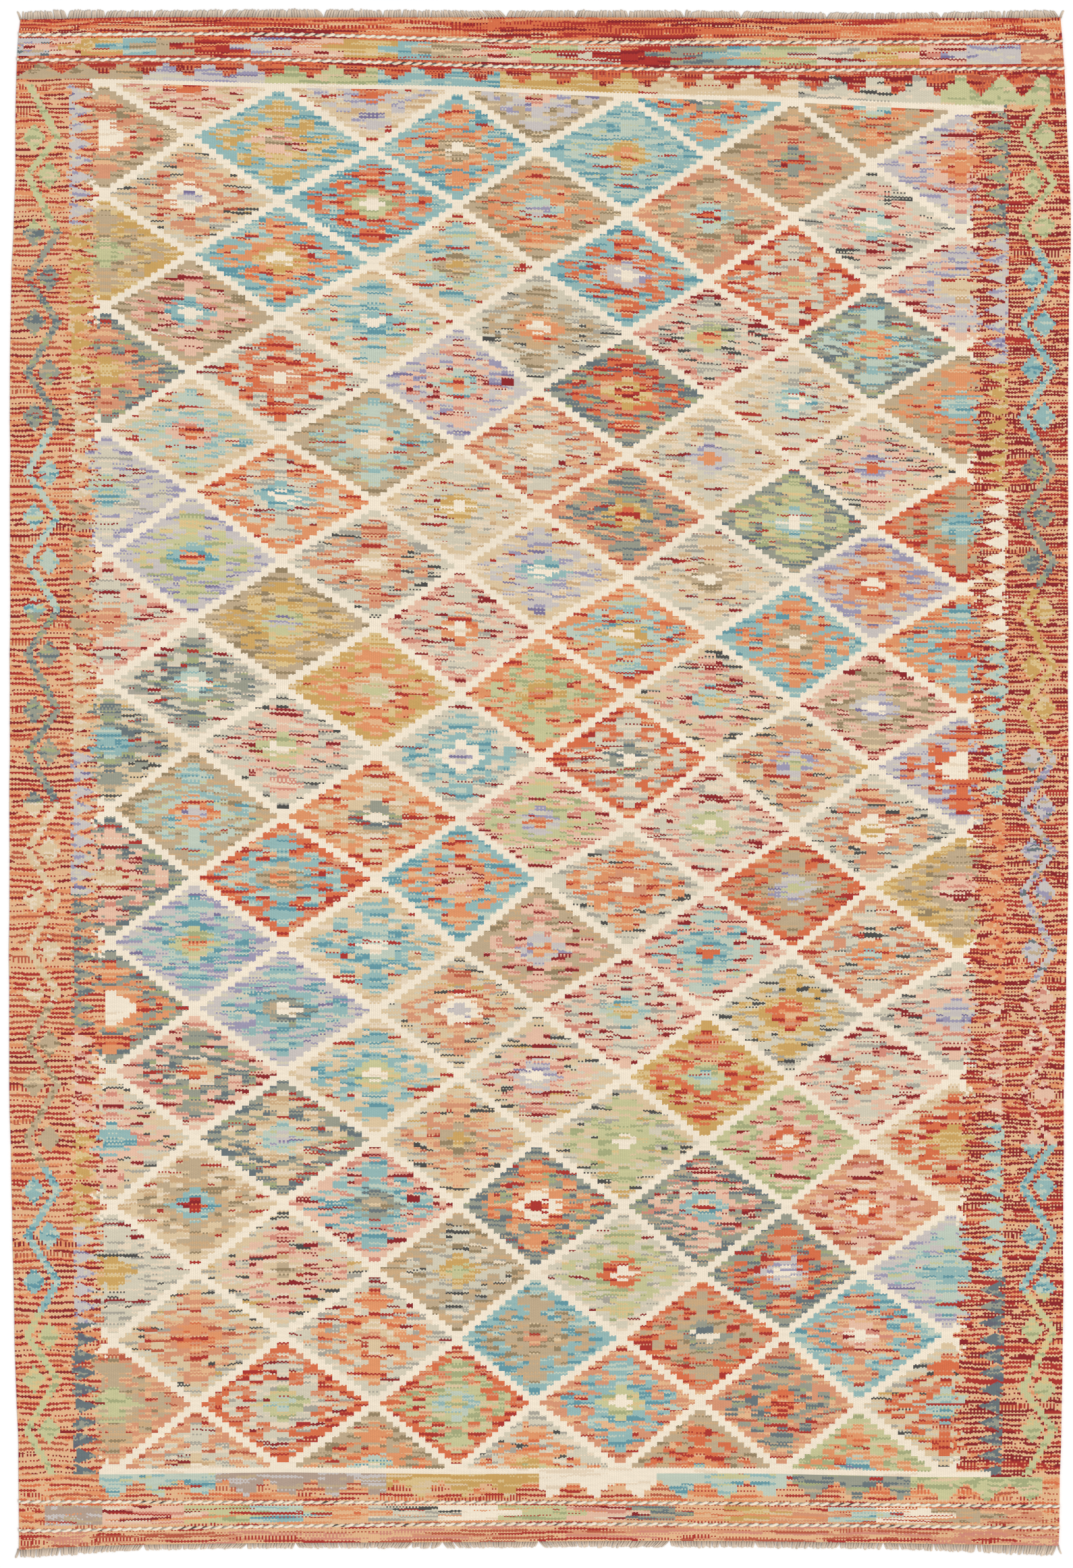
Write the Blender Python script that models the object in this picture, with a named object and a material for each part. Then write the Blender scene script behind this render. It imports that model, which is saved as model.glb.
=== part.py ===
"""A hand-woven kilim rug lying flat: one flat-woven cloth with a fringe of warp ends at each end.

Frame: the origin is under the middle of the rug's box, X across the rug, Y along it, +Z up.
The surface that the rug lies on is z = 0. Lengths are in metres.
"""
import math

import bmesh
import bpy
from mathutils import Vector

# The cloth
CLOTH_THICKNESS = 0.0035     # a weft-faced wool kilim
EDGE_ROUND = 0.0008          # how much thinner the cloth is along its selvedges and ends
COLUMNS = 28                 # faces across the cloth
ROW_PITCH = 0.062            # and their length along it, between the twined lines

# The slight rise and fall of its top face: one wave across the rug and one along it
COCKLE = 0.0004              # how far they lift it
WAVE_TURNS = (5.1, 6.7)      # how fast each wave turns, in radians a metre
WAVE_BENDS = (0.8, 1.1)      # how far each wave snakes, in radians
BEND_TURNS = (2.3, 3.1)      # and how fast its snaking turns

# The small in and out of the two edge cords
SELVEDGE_WAVE = 0.0008
SELVEDGE_TURNS = (61, 17)    # its quick and its slow wave, in radians a metre
SLOW_START = 1.0             # where the slow wave starts, in radians
RIGHT_SHIFT = 3.0            # how far along the left edge's wave the right edge's wave starts

# The two long edges, measured from the middle line at places along the rug
LEFT, RIGHT = 1, 2
SIDES = [
    # along,  left,    right
    (1.478, 1.0010, 1.0030),
    (1.365, 1.0085, 1.0120),
    (1.120, 1.0114, 1.0231),
    (0.860, 1.0200, 1.0185),
    (0.340, 1.0207, 1.0179),
    (-0.180, 1.0220, 1.0179),
    (-0.570, 1.0222, 1.0105),
    (-0.830, 1.0168, 1.0088),
    (-1.090, 1.0114, 1.0080),
    (-1.285, 1.0049, 1.0036),
    (-1.478, 1.0035, 0.9997),
]

# The two short edges of the cloth, and the tips of the fringe past them, at places across the rug
TOP, TOP_TIPS, FOOT, FOOT_TIPS = 1, 2, 3, 4
ENDS = [
    # across, cloth's top, fringe's top, cloth's foot, fringe's foot
    (-1.005, 1.4725, 1.4877, -1.4760, -1.4937),
    (-0.900, 1.4740, 1.4912, -1.4700, -1.4867),
    (-0.780, 1.4765, 1.4897, -1.4665, -1.4792),
    (-0.600, 1.4765, 1.4917, -1.4640, -1.4752),
    (-0.390, 1.4762, 1.4922, -1.4625, -1.4742),
    (-0.130, 1.4765, 1.4902, -1.4612, -1.4737),
    (0.130, 1.4765, 1.4902, -1.4595, -1.4725),
    (0.390, 1.4750, 1.4887, -1.4595, -1.4730),
    (0.650, 1.4730, 1.4857, -1.4625, -1.4762),
    (0.780, 1.4750, 1.4867, -1.4645, -1.4802),
    (0.910, 1.4750, 1.4897, -1.4668, -1.4847),
    (1.005, 1.4760, 1.4917, -1.4684, -1.4887),
]

# The twined lines that cross the cloth as ridges: how far along the rug each lies, at places across
LINE_PLACES = (-1.0, -0.5, 0.0, 0.5, 1.0)
TOP_LINES = [
    (1.3943, 1.3945, 1.3800, 1.3748, 1.3787),
    (1.4424, 1.4440, 1.4295, 1.4281, 1.4307),
]
FOOT_LINES = [
    (-1.4411, -1.4310, -1.4268, -1.4290, -1.4346),
    (-1.3839, -1.3850, -1.3852, -1.3880, -1.3930),
]
RIDGE_HEIGHT = 0.0012        # above the cloth
RIDGE_HALF_WIDTH = 0.0035

# The fringe
FRINGE_THICKNESS = 0.0022
FRINGE_GAP = 0.0003          # between the cloth's edge and the fringe's strip
STRIP_DEPTH = 0.0030         # of the strip that the locks stand on
LOCKS_ON_FACE = 5            # locks to each face of the cloth's edge
LOCK_FILL = 0.86             # the share of the pitch that a lock's root fills
LOCK_TIP = 0.74              # a tip's width beside its root's
LEAN = 0.0035                # how far a tip leans aside
LEAN_TURNS = (0.37, 1.9)     # how fast the lean's slow and quick waves turn from lock to lock
SPLAY = 0.006                # the outermost lock's lean past the corner
UNEVEN = 0.0016              # how much the locks' lengths vary
LENGTH_TURN = 2.4            # how fast their lengths' wave turns from lock to lock

# The plain colours of the two yarns
WOOL_COLOUR = (0.62, 0.45, 0.33)
WOOL_ROUGHNESS = 0.9
WARP_COLOUR = (0.60, 0.53, 0.44)
WARP_ROUGHNESS = 0.85


def smooth(rows, column, at):
    """A value from a table whose first column rises or falls, on a smooth curve through its rows."""
    rows = sorted(rows)
    at = min(max(at, rows[0][0]), rows[-1][0])
    k = max(n for n in range(len(rows) - 1) if rows[n][0] <= at)
    before = rows[max(k - 1, 0)]
    here, there = rows[k], rows[k + 1]
    after = rows[min(k + 2, len(rows) - 1)]
    span = there[0] - here[0]
    t = (at - here[0]) / span
    rise_here = (there[column] - before[column]) / (there[0] - before[0]) * span
    rise_there = (after[column] - here[column]) / (after[0] - here[0]) * span
    return (
        (2 * t**3 - 3 * t**2 + 1) * here[column]
        + (t**3 - 2 * t**2 + t) * rise_here
        + (3 * t**2 - 2 * t**3) * there[column]
        + (t**3 - t**2) * rise_there
    )


def edge_wave(along):
    """The selvedge's small in and out."""
    quick, slow = SELVEDGE_TURNS
    return SELVEDGE_WAVE * math.sin(along * quick) * math.sin(along * slow + SLOW_START)


def left_edge(along):
    return -smooth(SIDES, LEFT, along) + edge_wave(along)


def right_edge(along):
    return smooth(SIDES, RIGHT, along) + edge_wave(along + RIGHT_SHIFT)


def twined_line(line, across):
    """How far along the rug a twined line lies, at a place across it."""
    return smooth(list(zip(LINE_PLACES, line)), 1, across)


def ridge_rows(line):
    """The three rows of the cloth's mesh that make one ridge, the middle one lifted."""
    return [
        (lambda across: twined_line(line, across) - RIDGE_HALF_WIDTH, 0.0),
        (lambda across: twined_line(line, across), RIDGE_HEIGHT),
        (lambda across: twined_line(line, across) + RIDGE_HALF_WIDTH, 0.0),
    ]


def between_lines(low, high, share):
    """A row that lies between two twined lines, at a share of the way from the lower one."""
    return lambda across: twined_line(low, across) * (1 - share) + twined_line(high, across) * share


def cloth_rows():
    """The rows of the cloth's mesh from the foot to the top.

    Each is a pair: how far along it lies, as a function of the place across, and its lift.
    """
    rows = [(lambda across: smooth(ENDS, FOOT, across), 0.0)]
    for line in FOOT_LINES:
        rows += ridge_rows(line)
    low, high = FOOT_LINES[-1], TOP_LINES[0]
    middle = LINE_PLACES.index(0.0)
    count = round((high[middle] - low[middle]) / ROW_PITCH)
    for k in range(1, count):
        rows.append((between_lines(low, high, k / count), 0.0))
    for line in TOP_LINES:
        rows += ridge_rows(line)
    rows.append((lambda across: smooth(ENDS, TOP, across), 0.0))
    return rows


def place_on_row(height, column):
    """Where a row of the cloth's mesh, given as its height at a place across, meets a column."""
    share = column / COLUMNS
    along = height(2 * share - 1)
    left, right = left_edge(along), right_edge(along)
    across = left + (right - left) * share
    return across, height(across)


def cockle(x, y):
    """The slight unevenness of a hand-woven cloth that lies flat."""
    across = math.sin(x * WAVE_TURNS[0] + WAVE_BENDS[0] * math.sin(y * BEND_TURNS[0]))
    along = math.sin(y * WAVE_TURNS[1] + WAVE_BENDS[1] * math.sin(x * BEND_TURNS[1]))
    return COCKLE * (across + along) / 2


def cloth_mesh():
    """A grid drawn out to the cloth's outline, its border let down to a flat underside."""
    rows = cloth_rows()
    bm = bmesh.new()
    bmesh.ops.create_grid(bm, x_segments=COLUMNS, y_segments=len(rows) - 1, size=1.0)
    for vert in bm.verts:
        column = round((vert.co.x + 1) / 2 * COLUMNS)
        row = round((vert.co.y + 1) / 2 * (len(rows) - 1))
        height, lift = rows[row]
        across, along = place_on_row(height, column)
        up = CLOTH_THICKNESS + cockle(across, along) + lift
        if vert.is_boundary:
            up = CLOTH_THICKNESS - EDGE_ROUND
        vert.co = Vector((across, along, up))
    border = [edge for edge in bm.edges if edge.is_boundary]
    let_down = bmesh.ops.extrude_edge_only(bm, edges=border)["geom"]
    for item in let_down:
        if isinstance(item, bmesh.types.BMVert):
            item.co.z = 0.0
    rim = [edge for edge in bm.edges if edge.is_boundary]
    bmesh.ops.contextual_create(bm, geom=rim)
    return finished_mesh("kilim_cloth", bm)


def strip_points(end):
    """Points along one end of the cloth, on the straight edges of the cloth's own mesh.

    Each face has its corner, then the left and the right side of the root of every lock on it.
    """
    def cloth_end(across):
        return smooth(ENDS, end, across)

    corners = [place_on_row(cloth_end, column) for column in range(COLUMNS + 1)]
    shares = [0.0]
    for lock in range(LOCKS_ON_FACE):
        shares.append((lock + (1 - LOCK_FILL) / 2) / LOCKS_ON_FACE)
        shares.append((lock + (1 + LOCK_FILL) / 2) / LOCKS_ON_FACE)
    points = []
    for (x0, y0), (x1, y1) in zip(corners, corners[1:]):
        points += [(x0 + (x1 - x0) * share, y0 + (y1 - y0) * share) for share in shares]
    return points + corners[-1:]


def lock_lean(lock, locks):
    """How far a lock's tip leans aside. The outermost two splay past the corners."""
    if lock == 0:
        return -SPLAY
    if lock == locks - 1:
        return SPLAY
    slow, quick = LEAN_TURNS
    return LEAN * (math.sin(lock * slow) + math.sin(lock * quick + 1) / 2)


def fringe_mesh(name, end, tips, outward):
    """A narrow strip along the cloth's end with a row of flat locks drawn out of it."""
    points = strip_points(end)
    bm = bmesh.new()
    bmesh.ops.create_grid(bm, x_segments=len(points) - 1, y_segments=1, size=1.0)
    outer = {}
    for vert in bm.verts:
        column = round((vert.co.x + 1) / 2 * (len(points) - 1))
        x, y = points[column]
        if vert.co.y > 0:
            outer[column] = vert
            vert.co = Vector((x, y + outward * (FRINGE_GAP + STRIP_DEPTH), 0.0))
        else:
            vert.co = Vector((x, y + outward * FRINGE_GAP, 0.0))
    locks = COLUMNS * LOCKS_ON_FACE
    points_on_face = 1 + 2 * LOCKS_ON_FACE
    for lock in range(locks):
        face, on_face = divmod(lock, LOCKS_ON_FACE)
        column = face * points_on_face + 1 + 2 * on_face
        root = bm.edges.get((outer[column], outer[column + 1]))
        middle = (outer[column].co.x + outer[column + 1].co.x) / 2
        shorter = UNEVEN * (1 + math.sin(lock * LENGTH_TURN)) / 2
        tip = smooth(ENDS, tips, middle) - outward * shorter
        for item in bmesh.ops.extrude_edge_only(bm, edges=[root])["geom"]:
            if isinstance(item, bmesh.types.BMVert):
                across = middle + (item.co.x - middle) * LOCK_TIP + lock_lean(lock, locks)
                item.co = Vector((across, tip, 0.0))
    raised = bmesh.ops.extrude_face_region(bm, geom=bm.faces[:], use_keep_orig=True)["geom"]
    raised_points = [item for item in raised if isinstance(item, bmesh.types.BMVert)]
    bmesh.ops.translate(bm, verts=raised_points, vec=(0, 0, FRINGE_THICKNESS))
    return finished_mesh(name, bm)


def finished_mesh(name, bm):
    bmesh.ops.recalc_face_normals(bm, faces=bm.faces)
    mesh = bpy.data.meshes.new(name)
    bm.to_mesh(mesh)
    bm.free()
    return mesh


def new_material(name, colour, roughness):
    material = bpy.data.materials.new(name)
    material.use_nodes = True
    shader = material.node_tree.nodes["Principled BSDF"]
    shader.inputs["Base Color"].default_value = (*colour, 1)
    shader.inputs["Roughness"].default_value = roughness
    shader.inputs["Metallic"].default_value = 0.0
    return material


def add_part(mesh, material, collection):
    mesh.materials.append(material)
    collection.objects.link(bpy.data.objects.new(mesh.name, mesh))


def build():
    for old in list(bpy.data.objects):
        bpy.data.objects.remove(old)
    rug = bpy.data.collections.new("kilim_rug")
    bpy.context.scene.collection.children.link(rug)
    wool = new_material("dyed_wool", WOOL_COLOUR, WOOL_ROUGHNESS)
    warp = new_material("warp_yarn", WARP_COLOUR, WARP_ROUGHNESS)
    add_part(cloth_mesh(), wool, rug)
    add_part(fringe_mesh("fringe_top", TOP, TOP_TIPS, 1), warp, rug)
    add_part(fringe_mesh("fringe_foot", FOOT, FOOT_TIPS, -1), warp, rug)


build()
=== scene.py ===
# %% [markdown]
# # A hand-woven kilim rug, lying flat
#
# A kilim is a flat-woven wool rug with no pile. Its warps run along it and end in a short fringe, and its
# coloured weft is packed down so tightly that it hides them. Each small block of colour is a weft that goes
# back and forth over a few warps, so the pattern is built from steps. This script does the same: it fills
# in a draft, which says what colour every weft takes, and weaves that draft into the cloth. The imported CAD
# part gives the outline, the twined ridges and the fringe.

# %% Load the frame
import math

import bpy
import numpy as np
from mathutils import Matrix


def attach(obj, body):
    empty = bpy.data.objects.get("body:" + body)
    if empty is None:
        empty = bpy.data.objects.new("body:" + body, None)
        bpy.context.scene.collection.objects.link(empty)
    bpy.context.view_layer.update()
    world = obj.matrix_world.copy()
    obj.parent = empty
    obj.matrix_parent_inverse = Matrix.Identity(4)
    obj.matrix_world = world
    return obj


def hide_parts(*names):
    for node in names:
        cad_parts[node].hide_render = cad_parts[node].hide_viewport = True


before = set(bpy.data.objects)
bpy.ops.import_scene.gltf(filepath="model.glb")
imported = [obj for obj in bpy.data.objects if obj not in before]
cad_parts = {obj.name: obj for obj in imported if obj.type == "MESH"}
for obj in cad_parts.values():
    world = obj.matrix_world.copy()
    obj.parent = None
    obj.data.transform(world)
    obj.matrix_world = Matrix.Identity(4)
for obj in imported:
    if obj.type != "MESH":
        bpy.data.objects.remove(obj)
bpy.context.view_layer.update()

# %% [markdown]
# ## The outline, from the frame
#
# A hand-woven rug is never a true rectangle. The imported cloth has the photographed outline, so its border
# and the tops of its ridges are read here, as sorted points with straight lines between them.

# %% Read the outline and the twined ridges
UNDERSIDE = 0.0001  # everything in the CAD cloth below this height is its underside
PLAIN_TOP = 0.0042  # and everything above this one is a ridge
SIDES_FROM = 0.98  # the cloth's long edges lie further out than this
ENDS_FROM = {"top": 1.460, "foot": -1.449}  # and its ends further out than these
BETWEEN_LINES = 1.410  # lies between the outer and the inner twined line of each end


def places_of(mesh):
    """The places of a mesh's points, one in each row."""
    places = np.zeros(len(mesh.vertices) * 3, np.float32)
    mesh.vertices.foreach_get("co", places)
    return places.reshape(-1, 3)


def move_points(mesh, places):
    mesh.vertices.foreach_set("co", places.astype(np.float32).ravel())


def points_of(node):
    return places_of(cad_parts[node].data).astype(float)


def line_through(points, across=0, along=1):
    """Points sorted along one axis, as two arrays for np.interp."""
    order = np.argsort(points[:, across])
    return points[order, across], points[order, along]


cloth_points = points_of("kilim_cloth")
border = cloth_points[cloth_points[:, 2] < UNDERSIDE]
left_side = line_through(border[border[:, 0] < -SIDES_FROM], across=1, along=0)
right_side = line_through(border[border[:, 0] > SIDES_FROM], across=1, along=0)
top_end = line_through(border[border[:, 1] > ENDS_FROM["top"]])
foot_end = line_through(border[border[:, 1] < ENDS_FROM["foot"]])

ridge_points = cloth_points[cloth_points[:, 2] > PLAIN_TOP]
at_top = ridge_points[:, 1] > 0
outer = np.abs(ridge_points[:, 1]) > BETWEEN_LINES
twined_lines = {
    "outer top": line_through(ridge_points[at_top & outer]),
    "inner top": line_through(ridge_points[at_top & ~outer]),
    "inner foot": line_through(ridge_points[~at_top & ~outer]),
    "outer foot": line_through(ridge_points[~at_top & outer]),
}
for name, (xs, ys) in twined_lines.items():
    print(name, "twined line:", len(xs), "points, about", round(float(ys.mean()), 4), "m along")

# %% [markdown]
# ## The loom: rows, cells and picks
#
# The ivory trellis is the rug's skeleton. A weaver counts rows and cells, but beats some rows down harder
# than others, so the lines of crossings lie closer together at the top and slope there. A few driving
# values give that drift, and seeded unevenness puts every crossing slightly off. From crossing to crossing
# there are a wide cell and eleven plain ones across the rug, and thirteen rows of six picks along it. A pick
# is one passing of the weft. The side borders use cells of half the width.

# %% Lay out the trellis crossings
MM = 0.001
ROWS_PER_LINE = 13
CELLS_PER_COLUMN = 12
WIDE_CELL = 1.7  # the width of the cell at a crossing, in plain cells
PICKS_PER_ROW = 6
PICKS_PER_FACE = 12
LINES = 23  # of crossings, counted from the top
COLUMNS = 11  # of crossings, counted from the left

# in millimetres from the middle of the rug
TOP_LINE, FOOT_LINE = 1330, -1327
PITCH_GROWTH = 1.15  # how much wider the lines' pitch is at the foot than at the top
TRELLIS_DRIFT = (
    # along, the left column, the right column, how far a line falls from left to right
    (-1330, -820, 778, 0),
    (-500, -826, 800, 12),
    (0, -829, 814, 40),
    (800, -836, 812, 94),
    (1350, -840, 811, 46),
)
BULGE = 18  # how far the middle columns stand to the right of an even spacing
UNEVEN_COLUMN = 6
UNEVEN_CROSSING = 4

hand = np.random.default_rng(4)
pitches = np.linspace(1.0, PITCH_GROWTH, LINES - 1)
fallen = np.concatenate([[0], np.cumsum(pitches)]) / pitches.sum()
line_heights = TOP_LINE + (FOOT_LINE - TOP_LINE) * fallen
along_drift, left_column, right_column, line_fall = np.array(sorted(TRELLIS_DRIFT), float).T
column_share = np.arange(COLUMNS) / (COLUMNS - 1)
column_offset = BULGE * np.sin(math.pi * column_share) ** 2
column_offset[1:-1] += hand.normal(0, UNEVEN_COLUMN, COLUMNS - 2)

# even lines cross in columns 0, 2 ... 10, and odd lines in columns 1, 3 ... 9
crossing_heights = []
for line, height in enumerate(line_heights):
    share = column_share[line % 2::2]
    fall = np.interp(height, along_drift, line_fall)
    crossing_heights.append(height + fall * (0.5 - share) + hand.normal(0, UNEVEN_CROSSING, len(share)))

LEFT_CELLS = 28  # half-width cells in the left border
RIGHT_CELLS = 32  # and in the right one
trellis_cells = CELLS_PER_COLUMN * (COLUMNS - 1) + 1
CELLS = LEFT_CELLS + trellis_cells + RIGHT_CELLS

# the rows of the bands at the foot and at the top, counted from the foot
ROW_OUTER_FOOT = 4
ROW_INNER_FOOT = 10
ROW_TRELLIS = 16
trellis_rows = ROWS_PER_LINE * (LINES - 1) + 1
ROW_BAND = ROW_TRELLIS + trellis_rows
ROW_INNER_TOP = ROW_BAND + 6
ROW_OUTER_TOP = ROW_INNER_TOP + 6
ROWS = ROW_OUTER_TOP + 5
PICKS = ROWS * PICKS_PER_ROW
FACE_ROWS = PICKS // PICKS_PER_FACE
print(CELLS, "cells across,", ROWS, "rows and", PICKS, "picks along")

# %% Work out where every cell and row lies
SELVEDGE_SCALLOP = 0.0006  # the weft's turn round the last warp, every second row
WIDE_WARPS, PLAIN_WARPS, HALF_WARPS = 6, 4, 2  # the warps in a cell of each kind


def crossings_at(along):
    """How far across the rug each column of crossings is, at a height along it, in metres."""
    left = np.interp(along / MM, along_drift, left_column)
    right = np.interp(along / MM, along_drift, right_column)
    return (left + (right - left) * column_share + column_offset) * MM


def row_of_line(line):
    """The row that a line of crossings lies in."""
    return ROW_TRELLIS + ROWS_PER_LINE * (LINES - 1 - line)


def guides_at(across):
    """The rows whose heights are known, and those heights, at a place across the rug."""
    guides = [(0, *foot_end), (ROW_OUTER_FOOT, *twined_lines["outer foot"]),
              (ROW_INNER_FOOT, *twined_lines["inner foot"])]
    for line in range(LINES - 1, -1, -1):
        columns = crossings_at(line_heights[line] * MM)[line % 2::2]
        guides.append((row_of_line(line) + 0.5, columns, crossing_heights[line] * MM))
    guides += [(ROW_INNER_TOP, *twined_lines["inner top"]), (ROW_OUTER_TOP, *twined_lines["outer top"]),
               (ROWS, *top_end)]
    return zip(*((row, np.interp(across, xs, ys)) for row, xs, ys in guides))


# the cells' boundaries in plain cells from the first column of crossings, and each cell's warps
wide = np.arange(trellis_cells) % CELLS_PER_COLUMN == 0
cell_places = np.cumsum([-WIDE_CELL / 2, *np.where(wide, WIDE_CELL, 1.0)])
cell_warps = np.pad(np.where(wide, WIDE_WARPS, PLAIN_WARPS), (LEFT_CELLS, RIGHT_CELLS),
                    constant_values=HALF_WARPS)
column_units = np.arange(COLUMNS) * (CELLS_PER_COLUMN - 1 + WIDE_CELL)


def across_at(along, row):
    """How far across the rug each cell's boundary is, at a height along it."""
    columns = crossings_at(along)
    inside = np.interp(cell_places, column_units, columns)
    unit = (columns[1] - columns[0]) / column_units[1]
    inside[0] = columns[0] - WIDE_CELL / 2 * unit
    inside[-1] = columns[-1] + WIDE_CELL / 2 * unit
    scallop = SELVEDGE_SCALLOP * math.cos(row * math.pi)
    left = np.interp(along, *left_side) + scallop
    right = np.interp(along, *right_side) - scallop
    left_border = np.linspace(left, inside[0], LEFT_CELLS + 1)[:-1]
    right_border = np.linspace(inside[-1], right, RIGHT_CELLS + 1)[1:]
    return np.concatenate([left_border, inside, right_border])


rows = np.arange(ROWS + 1)
row_y = np.stack([np.interp(rows, *guides_at(x)) for x in across_at(0.0, 0)], axis=1)
row_x = np.stack([across_at(row_y[row, CELLS // 2], row) for row in rows])
cell_size = np.diff(row_x[ROWS // 2])[CELLS // 2], np.diff(row_y[:, CELLS // 2])[ROWS // 2]
print("a cell in the middle, across and along, in metres:", *np.round(cell_size, 4))

# the middle of every cell at every pick, for whatever is laid by its real place
pick_rows = (np.arange(PICKS) + 0.5) / PICKS_PER_ROW


def middles(boundaries):
    places = np.stack([np.interp(pick_rows, rows, column) for column in boundaries.T], axis=1)
    return (places[:, 1:] + places[:, :-1]) / 2


place_x, place_y = middles(row_x), middles(row_y)
row_of = np.repeat(np.arange(ROWS), PICKS_PER_ROW)[:, None] * np.ones((1, CELLS), int)
cell_of = np.arange(CELLS)[None, :] * np.ones((PICKS, 1), int) - LEFT_CELLS

# %% [markdown]
# ## Dyes and yarns
#
# No diamond has one flat colour: the weaver changes to a near shade for a few cells at a time, and throws
# in short flecks of a strong one. A yarn here is such a mix: its ground, and each other dye with the share
# of the area that it takes. The draft holds the dyes' numbers, and the material turns them into colours.

# %% Name the dyes and mix the yarns
DYES = {
    "ivory": (240, 227, 206), "cream": (229, 211, 186), "sand": (219, 195, 158), "tan": (204, 169, 127),
    "straw": (219, 192, 138), "ochre": (203, 162, 94), "peach": (227, 181, 138), "apricot": (224, 148, 101),
    "salmon": (214, 148, 114), "coral": (216, 110, 70), "brick": (186, 90, 66), "red": (174, 50, 44),
    "crimson": (142, 34, 40), "pink": (210, 138, 120), "blush": (229, 188, 163), "sage": (164, 170, 124),
    "leaf": (198, 196, 148), "aqua": (190, 202, 186), "turquoise": (146, 182, 180), "lagoon": (96, 150, 162),
    "petrol": (104, 116, 120), "teal": (152, 154, 138), "charcoal": (76, 76, 74), "navy": (100, 102, 114),
    "pale_grey": (210, 202, 180), "grey": (168, 163, 150), "taupe": (190, 168, 136), "olive": (150, 130, 98),
    "lilac": (156, 150, 176), "pale_lilac": (200, 192, 188), "violet": (124, 114, 152),
    "mauve": (178, 156, 140),
}
DYE_NUMBER = {name: number for number, name in enumerate(DYES)}

YARNS = {
    # the ground, then each other dye with its share
    "w": ("ivory", ("cream", 0.12)),
    "s": ("sand", ("cream", 0.38), ("tan", 0.14), ("red", 0.06)),
    "q": ("sand", ("pale_grey", 0.42), ("grey", 0.12), ("ochre", 0.03), ("charcoal", 0.09)),
    "y": ("ochre", ("straw", 0.45), ("sand", 0.12)),
    "e": ("peach", ("apricot", 0.35), ("coral", 0.10)),
    "o": ("apricot", ("peach", 0.35), ("coral", 0.12), ("red", 0.08)),
    "r": ("coral", ("salmon", 0.40), ("peach", 0.12), ("red", 0.20)),
    "c": ("red", ("coral", 0.45), ("crimson", 0.15)),
    "m": ("salmon", ("peach", 0.45), ("brick", 0.10), ("red", 0.04)),
    "p": ("blush", ("pink", 0.30), ("cream", 0.12), ("crimson", 0.16)),
    "l": ("pale_lilac", ("pale_grey", 0.30), ("lilac", 0.26), ("violet", 0.03)),
    "z": ("pale_lilac", ("taupe", 0.25), ("lilac", 0.25), ("petrol", 0.18)),
    "x": ("mauve", ("pale_lilac", 0.35), ("taupe", 0.15)),
    "v": ("taupe", ("sand", 0.20), ("olive", 0.30)),
    "u": ("taupe", ("tan", 0.35), ("olive", 0.15)),
    "h": ("leaf", ("sage", 0.42), ("sand", 0.12)),
    "b": ("leaf", ("straw", 0.22), ("sage", 0.18)),
    "k": ("teal", ("taupe", 0.22), ("petrol", 0.36), ("sage", 0.10), ("red", 0.04)),
    "g": ("pale_grey", ("cream", 0.28), ("grey", 0.16), ("crimson", 0.05)),
    "n": ("pale_grey", ("cream", 0.18), ("grey", 0.25), ("charcoal", 0.10)),
    "a": ("aqua", ("turquoise", 0.30), ("leaf", 0.10), ("lagoon", 0.06), ("red", 0.03)),
    "t": ("turquoise", ("aqua", 0.40), ("lagoon", 0.20)),
    "d": ("petrol", ("teal", 0.35), ("navy", 0.20)),
}
print(len(DYES), "dyes in", len(YARNS), "yarns")

# %% [markdown]
# ## Laying yarn into the draft
#
# The draft is a grid of dye numbers, with a row for each pick and a column for each cell. Laying a yarn
# fills a marked area with its ground and strews its other dyes over it in strokes that slant a little, since
# no weft is beaten down quite evenly. The seed is fixed, so the rug comes out the same each time.

# %% Write the draft's tools
random = np.random.default_rng(20)
draft = np.full((PICKS, CELLS), DYE_NUMBER["ivory"])
HALF_ROW = PICKS_PER_ROW // 2
THIN, THICK = (1, 3), (HALF_ROW, 5)  # the picks of a stroke, each from the first up to below the second
SLANT = 0.6  # picks that a stroke rises or falls from cell to cell, at most
OVERLAP = 1.2  # strokes cover each other, so more are laid than their share


def between(values, low, high):
    return (values >= low) & (values < high)


def strew(block, dye, share, longest, thin_lines):
    """Lays slanting strokes of a dye over a block of the draft until they cover about the share given."""
    height, width = block.shape
    to_cover = share * height * width
    while to_cover > 0:
        run = random.integers(1, longest + 1)
        first_cell = random.integers(1 - run, width)
        first_pick = random.integers(-1, height)
        thick = random.integers(*(THIN if random.random() < thin_lines else THICK))
        slant = random.uniform(-SLANT, SLANT)
        for step in range(run):
            # a stroke is a pick thinner at each end, as the weft is packed in round it
            thinner = 1 if thick > 2 and run > 2 and step in (0, run - 1) else 0
            low = first_pick + round(slant * step) + thinner
            high = first_pick + round(slant * step) + thick
            if 0 <= first_cell + step < width:
                block[max(low, 0):max(high, 0), first_cell + step] = DYE_NUMBER[dye]
        to_cover -= run * thick


def lay(area, yarn, longest=5, thin_lines=0.3):
    """Weaves a yarn into the draft wherever the area is marked."""
    picks, cells = np.nonzero(area)
    if len(picks) == 0:
        return
    box = (slice(picks.min(), picks.max() + 1), slice(cells.min(), cells.max() + 1))
    ground, *others = YARNS[yarn]
    block = np.full(area[box].shape, DYE_NUMBER[ground])
    for dye, share in others:
        strew(block, dye, share * OVERLAP, longest, thin_lines)
    draft[box][area[box]] = block[area[box]]


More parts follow.
